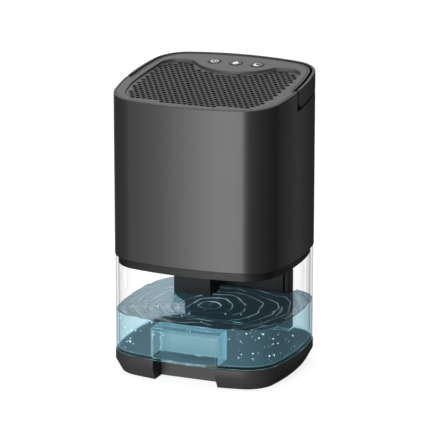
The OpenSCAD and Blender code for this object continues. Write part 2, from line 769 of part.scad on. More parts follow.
module tank_lid() {
    color([0.14, 0.14, 0.15]) difference() {
        translate([0, 0, lid_z1 - lid_skirt]) linear_extrude(lid_skirt) lid_shape(0);
        translate([0, 0, lid_z1 - lid_skirt - 1]) linear_extrude(lid_skirt - lid_t + 1) lid_shape(1.8);
        translate([drip_x, drip_y, lid_z1 - 10]) cylinder(r = seal_r, h = 20);
    }
}
module drip_seal() {
    color([0.35, 0.35, 0.36]) translate([drip_x, drip_y, lid_z1 - lid_t]) difference() {
        cylinder(r = seal_r - 0.05, h = lid_t);
        translate([0, 0, -1]) cylinder(r = 5.2, h = 5);
    }
}
// Side profile of the float cage: straight walls that taper to a narrow foot in the water
module cage_profile(t) {
    z1 = lid_z1 - lid_t - 0.05;
    polygon([
        [cage_x0 + t, z1 + t], [cage_x0 + t, cage_z0 + 6.5 + t / 2], [cage_x0 + 2.5 + t, cage_z0 + 5 + t / 2],
        [cage_x0 + 10 + t / 2, cage_z0 + t], [cage_x1 - 3 - t / 2, cage_z0 + t],
        [cage_x1 - t, cage_z0 + 4 + t / 2],
        [cage_x1 - t, z1 + t]
    ]);
}
module float_cage() {
    color([0.10, 0.10, 0.11]) difference() {
        translate([0, cage_y1, 0]) rotate([90, 0, 0]) linear_extrude(cage_y1 - cage_y0) cage_profile(0);
        translate([0, cage_y1 - cage_wall, 0]) rotate([90, 0, 0])
            linear_extrude(cage_y1 - cage_y0 - 2 * cage_wall) cage_profile(cage_wall);
        // Water way in the foot and in the back wall
        block(cage_x0 + 14, cage_x1 - 8, cage_y0 + 5, cage_y1 - 5, 0, cage_z0 + 5);
        for (z = [cage_z0 + 8 : 6 : cage_z0 + 30])
            block(cage_x0 + 6, cage_x1 - 6, cage_y1 - 5, cage_y1 + 5, z, z + 3);
    }
}
float_x0 = cage_x0 + cage_wall + float_gap;
float_x1 = cage_x1 - cage_wall - float_gap;
float_y0 = cage_y0 + cage_wall + float_gap;
float_y1 = cage_y1 - cage_wall - float_gap;
float_x = (float_x0 + float_x1) / 2;
float_y = (float_y0 + float_y1) / 2;
magnet_r = 3;
magnet_h = 3;
float_z0 = cage_z0 + 9;
float_h = 16;
stem_top = lid_z1 - lid_t - float_travel - 1.2;
module float_block() {
    color([0.95, 0.80, 0.35]) difference() {
        union() {
            block(float_x0, float_x1, float_y0, float_y1, float_z0, float_z0 + float_h);
            translate([float_x, float_y, float_z0 + float_h - 1])
                cylinder(r = 4.5, h = stem_top - float_z0 - float_h + 1);
        }
        translate([float_x, float_y, stem_top - magnet_h - 0.1]) cylinder(r = magnet_r + run, h = 5);
    }
}
module float_magnet() {
    color([0.6, 0.6, 0.62]) translate([float_x, float_y, stem_top - magnet_h])
        cylinder(r = magnet_r, h = magnet_h);
}
module case_screws() {
    color([0.6, 0.6, 0.62]) for (x = [-case_screw_x, case_screw_x], y = [-case_screw_y, case_screw_y])
        translate([x, y, floor_z0 + head_sink]) rotate([180, 0, 0]) screw(screw_r, 11, 2.6, sunk_head_h);
}
module fan_screws() {
    color([0.6, 0.6, 0.62]) for (x = [-fan_hole, fan_hole], y = [-fan_hole, fan_hole])
        translate([x, y, fan_z0 + fan_h]) screw(screw_r, fan_h + 9, 2.8, 2);
}
module heat_sink_screws() {
    color([0.6, 0.6, 0.62]) for (x = [-post_x, post_x], y = [-post_y, post_y])
        translate([x, y, hot_z0 + hot_base_t]) screw(screw_r, 16, 2.6, 2);
}
module clamp_screws() {
    color([0.6, 0.6, 0.62]) for (s = [-1, 1])
        translate([s * clamp_x, 0, cold_z1 - cold_base_t]) rotate([180, 0, 0]) screw(screw_r, 11, 2.6, 2);
}
module column_screws() {
    color([0.6, 0.6, 0.62]) for (x = [-column_screw_x, column_screw_x]) {
        translate([x, column_screw_y, floor_z1]) screw(screw_r, 5, 2.6, 2);
        translate([x, column_screw_y, 10]) rotate([180, 0, 0]) screw(screw_r, 9.5, 2.6, 2);
    }
}
module base_screws() {
    color([0.6, 0.6, 0.62]) for (x = [-base_screw_x, base_screw_x], y = [-base_screw_y, base_screw_y])
        translate([x, y, foot_h]) rotate([180, 0, 0]) screw(screw_r, 9, 2.6, 0.5);
}

head_casing();
top_panel();
outlet_grille();
head_floor();
rear_column();
column_cover();
base_tray();
base_cover();
rubber_feet();
fan_frame();
fan_rotor();
heat_sink();
peltier_module();
foam_gasket();
cold_plate();
drip_tray();
control_board();
tact_switches();
light_pipes();
power_button();
mode_button();
night_button();
dc_jack();
power_lead();
reed_switch();
tank_light_board();
tank_light_lens();
water_tank();
tank_lid();
drip_seal();
float_cage();
float_block();
float_magnet();
handle();
handle_pins();
handle_washers();
case_screws();
fan_screws();
heat_sink_screws();
clamp_screws();
column_screws();
base_screws();
board_screws();
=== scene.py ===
import bpy
import bmesh
import json
import math
import random
from mathutils import Matrix, Vector

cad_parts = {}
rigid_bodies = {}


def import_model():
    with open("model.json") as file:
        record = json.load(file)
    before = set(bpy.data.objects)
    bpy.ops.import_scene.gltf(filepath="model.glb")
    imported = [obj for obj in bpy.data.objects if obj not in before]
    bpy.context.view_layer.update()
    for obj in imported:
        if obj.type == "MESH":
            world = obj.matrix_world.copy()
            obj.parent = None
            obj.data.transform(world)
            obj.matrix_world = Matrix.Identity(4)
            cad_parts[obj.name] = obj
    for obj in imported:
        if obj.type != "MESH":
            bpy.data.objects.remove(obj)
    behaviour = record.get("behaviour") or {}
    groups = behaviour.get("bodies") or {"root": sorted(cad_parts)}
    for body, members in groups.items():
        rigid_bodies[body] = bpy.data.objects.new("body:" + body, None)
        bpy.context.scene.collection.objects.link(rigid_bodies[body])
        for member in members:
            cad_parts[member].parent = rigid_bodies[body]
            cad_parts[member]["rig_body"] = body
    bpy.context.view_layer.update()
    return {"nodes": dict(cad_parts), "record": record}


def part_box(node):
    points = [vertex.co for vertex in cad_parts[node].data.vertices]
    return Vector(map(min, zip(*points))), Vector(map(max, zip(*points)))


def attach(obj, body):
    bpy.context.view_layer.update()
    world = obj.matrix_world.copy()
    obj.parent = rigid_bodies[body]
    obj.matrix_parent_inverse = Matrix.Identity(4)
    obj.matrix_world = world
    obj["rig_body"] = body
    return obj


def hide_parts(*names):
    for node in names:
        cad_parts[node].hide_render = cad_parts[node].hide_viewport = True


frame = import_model()

mm = 0.001

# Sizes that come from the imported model
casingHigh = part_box("head_casing")[1]
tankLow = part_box("water_tank")[0]

# The body's plan and the sloping top face, as the casing has them
bodyPlan = {
    "halfWidth": casingHigh.x,
    "halfDepth": casingHigh.y,
    "cornerRadius": 27.5 * mm,
    "frontBow": 4.1 * mm,
    "sideBow": 2.8 * mm,
}
topFace = {"height": 220.4 * mm, "tilt": math.radians(7.05)}


def topFrame(x, y, depth=0.0):
    # a frame in the sloping top face, with its own z along the normal
    base = Matrix.Translation((x, y, topFace["height"] + y * math.tan(topFace["tilt"])))
    return base @ Matrix.Rotation(topFace["tilt"], 4, "X") @ Matrix.Translation((0, 0, depth))


def arcPoints(cx, cy, radius, startAngle, endAngle, steps):
    step = (endAngle - startAngle) / steps
    angles = [startAngle + step * i for i in range(steps)]
    return [(cx + radius * math.cos(angle), cy + radius * math.sin(angle)) for angle in angles]


def bodyOutline(inset, cornerSteps=14, sideSteps=10):
    # four bowed sides and four corner arcs that meet without a kink
    p = bodyPlan
    cornerX = p["halfWidth"] - p["sideBow"] - p["cornerRadius"]
    cornerY = p["halfDepth"] - p["frontBow"] - p["cornerRadius"]
    sideRadius = (cornerY**2 + p["sideBow"] ** 2) / (2 * p["sideBow"])
    frontRadius = (cornerX**2 + p["frontBow"] ** 2) / (2 * p["frontBow"])
    sideAngle = math.asin(cornerY / sideRadius)
    frontAngle = math.asin(cornerX / frontRadius)
    r = p["cornerRadius"] - inset
    quarter = math.pi / 2
    points = []
    for turn in range(4):
        along = turn * quarter
        if turn % 2 == 0:
            bowRadius, bowAngle, nextAngle = sideRadius, sideAngle, frontAngle
            reach = p["halfWidth"] - p["cornerRadius"] - sideRadius
        else:
            bowRadius, bowAngle, nextAngle = frontRadius, frontAngle, sideAngle
            reach = p["halfDepth"] - p["cornerRadius"] - frontRadius
        cx, cy = reach * math.cos(along), reach * math.sin(along)
        points += arcPoints(cx, cy, bowRadius + r, along - bowAngle, along + bowAngle, sideSteps)
        signX = 1 if turn in (0, 3) else -1
        signY = 1 if turn in (0, 1) else -1
        start, end = along + bowAngle, along + quarter - nextAngle
        points += arcPoints(signX * cornerX, signY * cornerY, r, start, end, cornerSteps)
    return points


# Water, held by the tank, with rings that spread from where the drops land
water = {
    "level": 48.0 * mm,
    "wallShow": 0.3 * mm,  # the clear wall bends light, so the water seems to fill it up to here
    "centre": (0.0, -9.0 * mm),
    "ringLength": 10.5 * mm,
    "ringHeight": 0.9 * mm,
    "waver": 0.35,
    "fade": 55 * mm,  # the swell dies out over this distance
    "fineSwell": 0.25,
    "chop": 0.12,
    "calmRadius": 4 * mm,
    "surfaceSteps": 150,
    "lineWaver": 0.02,
    "lineReach": 0.11,
    # the colour of the painted highlights along the rings
    "lineColour": (0.62, 0.82, 0.90),
    "columnHalf": 42.0 * mm,
    "columnFront": 46.5 * mm,
    "pocketHalf": 25.0 * mm,
    "pocketBack": -44.1 * mm,
    "pocketTop": 39.7 * mm,
    "cageRoom": 0.3 * mm,
}


# Shader node groups that several finishes share
def newGroup(name, inputs, outputs):
    group = bpy.data.node_groups.new(name, "ShaderNodeTree")
    for label, value in inputs:
        socket = group.interface.new_socket(label, in_out="INPUT", socket_type="NodeSocketFloat")
        socket.default_value = value
    for label in outputs:
        group.interface.new_socket(label, in_out="OUTPUT", socket_type="NodeSocketFloat")
    return group, group.nodes.new("NodeGroupInput"), group.nodes.new("NodeGroupOutput")


def mathNode(tree, operation, a, b=None, clamp=False):
    node = tree.nodes.new("ShaderNodeMath")
    node.operation = operation
    node.use_clamp = clamp
    for index, value in enumerate((a, b)):
        if value is None:
            continue
        if isinstance(value, (int, float)):
            node.inputs[index].default_value = value
        else:
            tree.links.new(value, node.inputs[index])
    return node.outputs[0]


def noiseNode(tree, scale, detail=3.0, stretch=(1, 1, 1)):
    coords = tree.nodes.new("ShaderNodeTexCoord")
    mapping = tree.nodes.new("ShaderNodeMapping")
    mapping.inputs["Scale"].default_value = stretch
    noise = tree.nodes.new("ShaderNodeTexNoise")
    noise.inputs["Detail"].default_value = detail
    tree.links.new(coords.outputs["Object"], mapping.inputs["Vector"])
    tree.links.new(mapping.outputs["Vector"], noise.inputs["Vector"])
    if isinstance(scale, (int, float)):
        noise.inputs["Scale"].default_value = scale
    else:
        tree.links.new(scale, noise.inputs["Scale"])
    return noise.outputs["Fac"]


def buildMouldGrain():
    # spark-eroded mould texture: fine pits, with a slow drift in shine across the part
    look = {"fineDetail": 2.0, "broadScale": 22.0, "speckle": 0.06}
    inputs = [("Grain Scale", 2600.0), ("Grain Depth", 1.0), ("Drift", 0.05)]
    group, source, result = newGroup("mouldGrain", inputs, ["Height", "Shine", "Shade"])
    fine = noiseNode(group, source.outputs["Grain Scale"], look["fineDetail"])
    broad = noiseNode(group, look["broadScale"])
    height = mathNode(group, "MULTIPLY", fine, source.outputs["Grain Depth"])
    centred = mathNode(group, "SUBTRACT", broad, 0.5)
    drift = mathNode(group, "MULTIPLY", centred, source.outputs["Drift"])
    speckle = mathNode(group, "MULTIPLY", mathNode(group, "SUBTRACT", fine, 0.5), look["speckle"])
    group.links.new(height, result.inputs["Height"])
    group.links.new(drift, result.inputs["Shine"])
    group.links.new(mathNode(group, "ADD", speckle, 1.0), result.inputs["Shade"])
    return group


def buildBrushLines():
    # fine parallel scratches along one direction
    look = {"detail": 4.0, "stretch": (1, 0.03, 1), "shineSpread": 0.25}
    inputs = [("Line Scale", 900.0), ("Depth", 1.0)]
    group, source, result = newGroup("brushLines", inputs, ["Height", "Shine"])
    lines = noiseNode(group, source.outputs["Line Scale"], look["detail"], look["stretch"])
    group.links.new(mathNode(group, "MULTIPLY", lines, source.outputs["Depth"]), result.inputs["Height"])
    shine = mathNode(group, "MULTIPLY", mathNode(group, "SUBTRACT", lines, 0.5), look["shineSpread"])
    group.links.new(shine, result.inputs["Shine"])
    return group


mouldGrain = buildMouldGrain()
brushLines = buildBrushLines()


def newMaterial(name):
    material = bpy.data.materials.new(name)
    material.use_nodes = True
    return material, material.node_tree, material.node_tree.nodes["Principled BSDF"]


def groupNode(tree, group, values):
    node = tree.nodes.new("ShaderNodeGroup")
    node.node_tree = group
    for label, value in values.items():
        node.inputs[label].default_value = value
    return node


def addBump(tree, shader, height, distance, strength=1.0):
    bump = tree.nodes.new("ShaderNodeBump")
    bump.inputs["Strength"].default_value = strength
    bump.inputs["Distance"].default_value = distance
    tree.links.new(height, bump.inputs["Height"])
    tree.links.new(bump.outputs["Normal"], shader.inputs["Normal"])


def shadedColour(tree, colour, factor):
    mix = tree.nodes.new("ShaderNodeMix")
    mix.data_type = "RGBA"
    mix.blend_type = "MULTIPLY"
    mix.inputs["Factor"].default_value = 1.0
    mix.inputs["A"].default_value = (*colour, 1)
    tree.links.new(factor, mix.inputs["B"])
    return mix.outputs["Result"]


usualPlastic = {"drift": 0.04, "grainScale": 2600, "grainDepth": 0.02 * mm, "specular": 0.5}


def mouldedPlastic(name, look):
    look = usualPlastic | look
    material, tree, shader = newMaterial(name)
    values = {"Grain Scale": look["grainScale"], "Grain Depth": 1.0, "Drift": look["drift"]}
    grain = groupNode(tree, mouldGrain, values)
    shade = shadedColour(tree, look["colour"], grain.outputs["Shade"])
    tree.links.new(shade, shader.inputs["Base Color"])
    shine = mathNode(tree, "ADD", grain.outputs["Shine"], look["roughness"])
    tree.links.new(shine, shader.inputs["Roughness"])
    addBump(tree, shader, grain.outputs["Height"], look["grainDepth"])
    shader.inputs["Specular IOR Level"].default_value = look["specular"]
    return material


def brushedMetal(name, look):
    material, tree, shader = newMaterial(name)
    lines = groupNode(tree, brushLines, {"Line Scale": look["lineScale"], "Depth": 1.0})
    shader.inputs["Base Color"].default_value = (*look["colour"], 1)
    shader.inputs["Metallic"].default_value = 1.0
    shine = mathNode(tree, "ADD", lines.outputs["Shine"], look["roughness"])
    tree.links.new(shine, shader.inputs["Roughness"])
    addBump(tree, shader, lines.outputs["Height"], look["lineDepth"])
    return material


def foamMaterial(name, look):
    # open cells with painted shade: each is darker in its middle, where the cell is hollow
    material, tree, shader = newMaterial(name)
    cells = tree.nodes.new("ShaderNodeTexVoronoi")
    cells.inputs["Scale"].default_value = look["cellScale"]
    coords = tree.nodes.new("ShaderNodeTexCoord")
    tree.links.new(coords.outputs["Object"], cells.inputs["Vector"])
    shade = mathNode(tree, "ADD", mathNode(tree, "MULTIPLY", cells.outputs["Distance"], 0.5), 0.7)
    tree.links.new(shadedColour(tree, look["colour"], shade), shader.inputs["Base Color"])
    shader.inputs["Roughness"].default_value = 0.9
    addBump(tree, shader, cells.outputs["Distance"], look["cellDepth"])
    return material


def seeThrough(name, look):
    # tinted and clear when seen face on, with a shine that grows as the wall turns away
    look = {"specular": 0.5, "hazeDetail": 2.0, "hazeSpread": 0.2} | look
    material, tree, shader = newMaterial(name)
    facing = tree.nodes.new("ShaderNodeLayerWeight")
    facing.inputs["Blend"].default_value = 0.5
    turned = mathNode(tree, "POWER", facing.outputs["Facing"], look["falloff"])
    edge = mathNode(tree, "MULTIPLY", turned, look["edge"])
    cover = mathNode(tree, "ADD", edge, look["body"], clamp=True)
    clear = tree.nodes.new("ShaderNodeBsdfTransparent")
    clear.inputs["Color"].default_value = (*look["tint"], 1)
    mix = tree.nodes.new("ShaderNodeMixShader")
    tree.links.new(cover, mix.inputs[0])
    tree.links.new(clear.outputs[0], mix.inputs[1])
    tree.links.new(shader.outputs[0], mix.inputs[2])
    tree.links.new(mix.outputs[0], tree.nodes["Material Output"].inputs["Surface"])
    haze = noiseNode(tree, look["hazeScale"], look["hazeDetail"])
    spread = mathNode(tree, "MULTIPLY", haze, look["hazeSpread"])
    shade = mathNode(tree, "ADD", spread, 1 - look["hazeSpread"] / 2)
    tree.links.new(shadedColour(tree, look["colour"], shade), shader.inputs["Base Color"])
    shader.inputs["Roughness"].default_value = look["roughness"]
    shader.inputs["IOR"].default_value = look["ior"]
    shader.inputs["Specular IOR Level"].default_value = look["specular"]
    # the emission gives the part a glow in its own colour; on the water, bubbles, tank floor and tank
    # edges this glow is painted light, as they are no lamps
    glow = [c * look["glow"] for c in look["colour"]]
    shader.inputs["Emission Color"].default_value = (*glow, 1)
    shader.inputs["Emission Strength"].default_value = 1.0
    addBump(tree, shader, haze, look["wave"])
    return material, tree, shader, cover, mix


def addGlint(tree, shader, cover, mix, mask, colour):
    # where the mask is set, the clear wall gets a painted highlight: an emitted colour on a more solid
    # cover
    tint = tree.nodes.new("ShaderNodeMix")
    tint.data_type = "RGBA"
    tint.inputs["A"].default_value = shader.inputs["Emission Color"].default_value
    tint.inputs["B"].default_value = (*colour, 1)
    tree.links.new(mask, tint.inputs["Factor"])
    tree.links.new(tint.outputs["Result"], shader.inputs["Emission Color"])
    tree.links.new(mathNode(tree, "MAXIMUM", cover, mask, clamp=True), mix.inputs[0])


def tankEdgeMaterial():
    # painted highlights on the moulded edges: broken bright lines along the rims, emitted rather than lit
    look = {"colour": (0.16, 0.36, 0.43), "tint": (0.9, 0.96, 0.98), "ior": 1.49, "body": 0.30,
            "edge": 0.4, "falloff": 3.0, "roughness": 0.08, "hazeScale": 90.0, "wave": 0.02 * mm,
            "glow": 0.8, "patchScale": 75.0, "patchFloor": 0.42, "patchGain": 3.2,
            "glint": (0.50, 0.84, 0.94)}
    material, tree, shader, cover, mix = seeThrough("tankEdge", look)
    above = mathNode(tree, "SUBTRACT", noiseNode(tree, look["patchScale"]), look["patchFloor"])
    patch = mathNode(tree, "MULTIPLY", above, look["patchGain"], clamp=True)
    addGlint(tree, shader, cover, mix, patch, look["glint"])
    return material


def lampMaterial(name, colour, strength):
    material, tree, shader = newMaterial(name)
    glow = noiseNode(tree, 900.0, 1.0)
    shader.inputs["Base Color"].default_value = (*colour, 1)
    shader.inputs["Emission Color"].default_value = (*colour, 1)
    shader.inputs["Emission Strength"].default_value = strength
    shine = mathNode(tree, "ADD", mathNode(tree, "MULTIPLY", glow, 0.1), 0.2)
    tree.links.new(shine, shader.inputs["Roughness"])
    return material


def boardMaterial(name, colour):
    # solder mask with the faint relief of copper tracks under it
    material, tree, shader = newMaterial(name)
    coords = tree.nodes.new("ShaderNodeTexCoord")
    tracks = tree.nodes.new("ShaderNodeTexBrick")
    tracks.inputs["Scale"].default_value = 260.0
    tracks.inputs["Mortar Size"].default_value = 0.03
    tracks.inputs["Color1"].default_value = (*colour, 1)
    tracks.inputs["Color2"].default_value = (*[c * 0.8 for c in colour], 1)
    tracks.inputs["Mortar"].default_value = (*[c * 1.8 for c in colour], 1)
    tree.links.new(coords.outputs["Object"], tracks.inputs["Vector"])
    tree.links.new(tracks.outputs["Color"], shader.inputs["Base Color"])
    shader.inputs["Roughness"].default_value = 0.35
    addBump(tree, shader, tracks.outputs["Fac"], 0.00005)
    return material


def materialName(slotName):
    # satin_charcoal becomes satinCharcoal
    first, *others = slotName.split("_")
    return first + "".join(word.capitalize() for word in others)


# Each row is a slot; a plastic's row says only what differs from usualPlastic
plastics = {
    "satin_charcoal": {"colour": (0.022, 0.0225, 0.024), "roughness": 0.34},
    "base_charcoal": {"colour": (0.036, 0.0365, 0.038), "roughness": 0.46, "specular": 0.32},
    "handle_charcoal": {"colour": (0.020, 0.0205, 0.022), "roughness": 0.38},
    "panel_grey": {"colour": (0.085, 0.086, 0.089), "roughness": 0.42},
    "column_black": {"colour": (0.014, 0.014, 0.016), "roughness": 0.55, "drift": 0.05,
                     "grainScale": 1400, "grainDepth": 0.05 * mm},
    "inner_black": {"colour": (0.012, 0.012, 0.013), "roughness": 0.5, "drift": 0.05,
                    "grainScale": 1600, "grainDepth": 0.04 * mm},
    "lid_black": {"colour": (0.012, 0.012, 0.013), "roughness": 0.45, "drift": 0.05,
                  "grainScale": 2200, "specular": 0.28},
    "fan_black": {"colour": (0.010, 0.010, 0.011), "roughness": 0.45, "grainScale": 1600,
                  "grainDepth": 0.03 * mm},
    "switch_black": {"colour": (0.02, 0.02, 0.02), "roughness": 0.4, "drift": 0.02,
                     "grainDepth": 0.01 * mm},
    "jack_black": {"colour": (0.010, 0.010, 0.010), "roughness": 0.4, "drift": 0.02,
                   "grainDepth": 0.01 * mm},
    "button_black": {"colour": (0.006, 0.006, 0.007), "roughness": 0.3, "drift": 0.02,
                     "grainDepth": 0.01 * mm, "specular": 0.15},
    "foot_rubber": {"colour": (0.012, 0.012, 0.012), "roughness": 0.8, "drift": 0.1,
                    "grainScale": 900, "grainDepth": 0.08 * mm},
    "seal_rubber": {"colour": (0.05, 0.05, 0.05), "roughness": 0.7, "drift": 0.1,
                    "grainScale": 900, "grainDepth": 0.05 * mm},
    "lead_red": {"colour": (0.35, 0.02, 0.02), "roughness": 0.45, "drift": 0.05,
                 "grainScale": 1200, "grainDepth": 0.03 * mm},
    "tray_white": {"colour": (0.62, 0.62, 0.60), "roughness": 0.4, "drift": 0.05, "grainScale": 1800},
    "washer_white": {"colour": (0.7, 0.7, 0.68), "roughness": 0.35, "drift": 0.05, "grainScale": 1800},
    "ceramic_white": {"colour": (0.75, 0.75, 0.72), "roughness": 0.5, "drift": 0.05,
                      "grainScale": 3000, "grainDepth": 0.01 * mm},
    "reed_glass": {"colour": (0.2, 0.28, 0.22), "roughness": 0.2, "drift": 0.02,
                   "grainScale": 1800, "grainDepth": 0.01 * mm},
}
metals = {
    "fin_aluminium": {"colour": (0.72, 0.73, 0.75), "roughness": 0.34, "lineScale": 700,
                      "lineDepth": 0.02 * mm},
    "pin_steel": {"colour": (0.55, 0.55, 0.57), "roughness": 0.28, "lineScale": 1200,
                  "lineDepth": 0.01 * mm},
    "screw_steel": {"colour": (0.48, 0.48, 0.50), "roughness": 0.32, "lineScale": 1200,
                    "lineDepth": 0.01 * mm},
    "magnet_nickel": {"colour": (0.6, 0.59, 0.57), "roughness": 0.15, "lineScale": 1200,
                      "lineDepth": 0.005 * mm},
}
foams = {
    "gasket_foam": {"colour": (0.03, 0.03, 0.032), "cellScale": 1500, "cellDepth": 0.3 * mm},
    "float_foam": {"colour": (0.75, 0.50, 0.12), "cellScale": 900, "cellDepth": 0.3 * mm},
}
clears = {
    "clear_tank": {"colour": (0.02, 0.023, 0.025), "tint": (0.995, 0.997, 0.998), "ior": 1.49,
                   "body": 0.004, "edge": 0.9, "falloff": 6.5, "roughness": 0.05,
                   "hazeScale": 60.0, "wave": 0.01 * mm, "glow": 0.0, "specular": 0.06},
    # the tank floor's glow is painted light: the ledge shines dark cyan though it is no lamp
    "tank_floor": {"colour": (0.10, 0.20, 0.25), "tint": (0.45, 0.62, 0.68), "ior": 1.49,
                   "body": 0.42, "edge": 0.3, "falloff": 3.0, "roughness": 0.1,
                   "hazeScale": 60.0, "wave": 0.01 * mm, "glow": 0.55, "specular": 0.1},
    "clear_lens": {"colour": (0.7, 0.78, 0.82), "tint": (0.9, 0.95, 1.0), "ior": 1.49,
                   "body": 0.25, "edge": 0.75, "falloff": 3.0, "roughness": 0.15,
                   "hazeScale": 200.0, "wave": 0.1 * mm, "glow": 0.1},
}
finishes = {}
for builder, looks in ((mouldedPlastic, plastics), (brushedMetal, metals), (foamMaterial, foams)):
    for slotName, look in looks.items():
        finishes[slotName] = builder(materialName(slotName), look)
for slotName, look in clears.items():
    finishes[slotName] = seeThrough(materialName(slotName), look)[0]
finishes["board_green"] = boardMaterial("boardGreen", (0.01, 0.09, 0.04))
finishes["light_blue"] = lampMaterial("lightBlue", (0.03, 0.07, 0.45), 0.5)


def buildRingLines():
    # painted highlights: thin bright lines on rings about a point, a little out of true, strongest near
    # the middle
    look = {"shakeScale": 30.0, "shakeDetail": 1.5, "sharpness": 15.0, "patchScale": 70.0,
            "patchFloor": 0.33, "patchGain": 4.0}
    inputs = [("Centre X", 0.0), ("Centre Y", 0.0), ("Spacing", 0.01), ("Waver", 0.004), ("Reach", 0.06)]
    group, source, result = newGroup("ringLines", inputs, ["Lines"])
    coords = group.nodes.new("ShaderNodeTexCoord")
    split = group.nodes.new("ShaderNodeSeparateXYZ")
    group.links.new(coords.outputs["Object"], split.inputs[0])
    dx = mathNode(group, "SUBTRACT", split.outputs[0], source.outputs["Centre X"])
    dy = mathNode(group, "SUBTRACT", split.outputs[1], source.outputs["Centre Y"])
    squares = mathNode(
        group, "ADD", mathNode(group, "MULTIPLY", dx, dx), mathNode(group, "MULTIPLY", dy, dy))
    distance = mathNode(group, "SQRT", squares)
    shakeNoise = noiseNode(group, look["shakeScale"], look["shakeDetail"])
    shake = mathNode(group, "MULTIPLY", shakeNoise, source.outputs["Waver"])
    turns = mathNode(group, "DIVIDE", mathNode(group, "ADD", distance, shake), source.outputs["Spacing"])
    fromCrest = mathNode(group, "SUBTRACT", mathNode(group, "FRACT", turns), 0.5)
    slope = mathNode(group, "MULTIPLY", fromCrest, look["sharpness"])
    outer = mathNode(group, "SUBTRACT", 1.0, slope)
    inner = mathNode(group, "ADD", 1.0, slope)
    crest = mathNode(group, "MINIMUM", outer, inner, clamp=True)
    above = mathNode(group, "SUBTRACT", noiseNode(group, look["patchScale"], 1.0), look["patchFloor"])
    patchy = mathNode(group, "MULTIPLY", above, look["patchGain"], clamp=True)
    share = mathNode(group, "DIVIDE", distance, source.outputs["Reach"])
    fade = mathNode(group, "SUBTRACT", 1.0, share, clamp=True)
    lines = mathNode(group, "MULTIPLY", mathNode(group, "MULTIPLY", crest, patchy), fade)
    group.links.new(lines, result.inputs["Lines"])
    return group


def waterMaterial(part):
    # each part of the water glows in its own colour, painted light, and the water round the pocket glows
    # brightest
    looks = {
        "body": {"colour": (0.27, 0.50, 0.61), "tint": (0.77, 0.90, 0.94), "body": 0.10, "edge": 0.25,
                 "falloff": 4.0, "roughness": 0.05, "glow": 0.46, "specular": 0.2},
        "surface": {"colour": (0.035, 0.060, 0.075), "tint": (0.58, 0.70, 0.77), "body": 0.34,
                    "edge": 0.55, "falloff": 2.5, "roughness": 0.04, "glow": 0.25, "specular": 0.35},
        "pocket": {"colour": (0.36, 0.66, 0.77), "tint": (0.84, 0.94, 0.97), "body": 0.30, "edge": 0.30,
                   "falloff": 3.0, "roughness": 0.08, "glow": 0.72},
    }
    look = {"ior": 1.33, "hazeScale": 35.0, "wave": 0.01 * mm} | looks[part]
    material, tree, shader, cover, mix = seeThrough("water" + part.capitalize(), look)
    if part == "surface":
        x, y = water["centre"]
        values = {"Centre X": x, "Centre Y": y, "Spacing": water["ringLength"],
                  "Waver": water["lineWaver"], "Reach": water["lineReach"]}
        rings = groupNode(tree, buildRingLines(), values)
        addGlint(tree, shader, cover, mix, rings.outputs["Lines"], water["lineColour"])
    return material


def bubbleMaterial():
    # painted light: the bubbles glow a pale blue-white, though they are no lamp
    look = {"colour": (0.85, 0.97, 1.0), "tint": (0.9, 0.97, 1.0), "ior": 1.33, "body": 0.35, "edge": 0.6,
            "falloff": 1.2, "roughness": 0.1, "hazeScale": 800.0, "wave": 0.01 * mm, "glow": 0.85}
    return seeThrough("waterBubbles", look)[0]


def signMaterial():
    look = {"colour": (0.9, 0.9, 0.9), "roughness": 0.4, "glow": 0.25, "grainScale": 3000.0, "drift": 0.03}
    material, tree, shader = newMaterial("whiteSign")
    values = {"Grain Scale": look["grainScale"], "Grain Depth": 1.0, "Drift": look["drift"]}
    grain = groupNode(tree, mouldGrain, values)
    shade = shadedColour(tree, look["colour"], grain.outputs["Shade"])
    tree.links.new(shade, shader.inputs["Base Color"])
    shader.inputs["Roughness"].default_value = look["roughness"]
    # painted light: the white sign glows a little, though it is no lamp
    shader.inputs["Emission Color"].default_value = (1, 1, 1, 1)
    shader.inputs["Emission Strength"].default_value = look["glow"]
    return material


print("finishes:", len(finishes))


# Mesh helpers
def meshObject(name, bm, material, smoothAngle=35.0):
    mesh = bpy.data.meshes.new(name)
    bmesh.ops.recalc_face_normals(bm, faces=bm.faces[:])
    limit = math.radians(smoothAngle)
    for edge in bm.edges:
        edge.smooth = len(edge.link_faces) == 2 and edge.calc_face_angle(0) < limit
    for face in bm.faces:
        face.smooth = True
    bm.to_mesh(mesh)
    bm.free()
    mesh.materials.append(material)
    piece = bpy.data.objects.new(name, mesh)
    bpy.context.scene.collection.objects.link(piece)
    return piece


def place(piece, body, replaced=()):
    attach(piece, body)
    if replaced:
        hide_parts(*replaced)
    return piece


def bodyOfNode(node):
    return frame["nodes"][node]["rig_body"]


slotOfNode = {row["node"]: row["material_slot"] for row in frame["record"]["subparts"]}


def applyModifiers(piece):
    graph = bpy.context.evaluated_depsgraph_get()
    mesh = bpy.data.meshes.new_from_object(piece.evaluated_get(graph))
    piece.modifiers.clear()
    old = piece.data
    piece.data = mesh
    bpy.data.meshes.remove(old)


def cutAway(piece, cutter):
    modifier = piece.modifiers.new("cut", "BOOLEAN")
    modifier.operation = "DIFFERENCE"
    modifier.solver = "EXACT"
    modifier.object = cutter
    applyModifiers(piece)
    bpy.data.objects.remove(cutter)


def grownVerts(bm, faces):
    # extrudes these faces where they are, and returns the new vertices
    grown = bmesh.ops.extrude_face_region(bm, geom=faces)
    return [item for item in grown["geom"] if isinstance(item, bmesh.types.BMVert)]


def extrudedOutline(bm, points, low, high):
    face = bm.faces.new([bm.verts.new((x, y, low)) for x, y in points])
    bmesh.ops.translate(bm, vec=(0, 0, high - low), verts=grownVerts(bm, [face]))


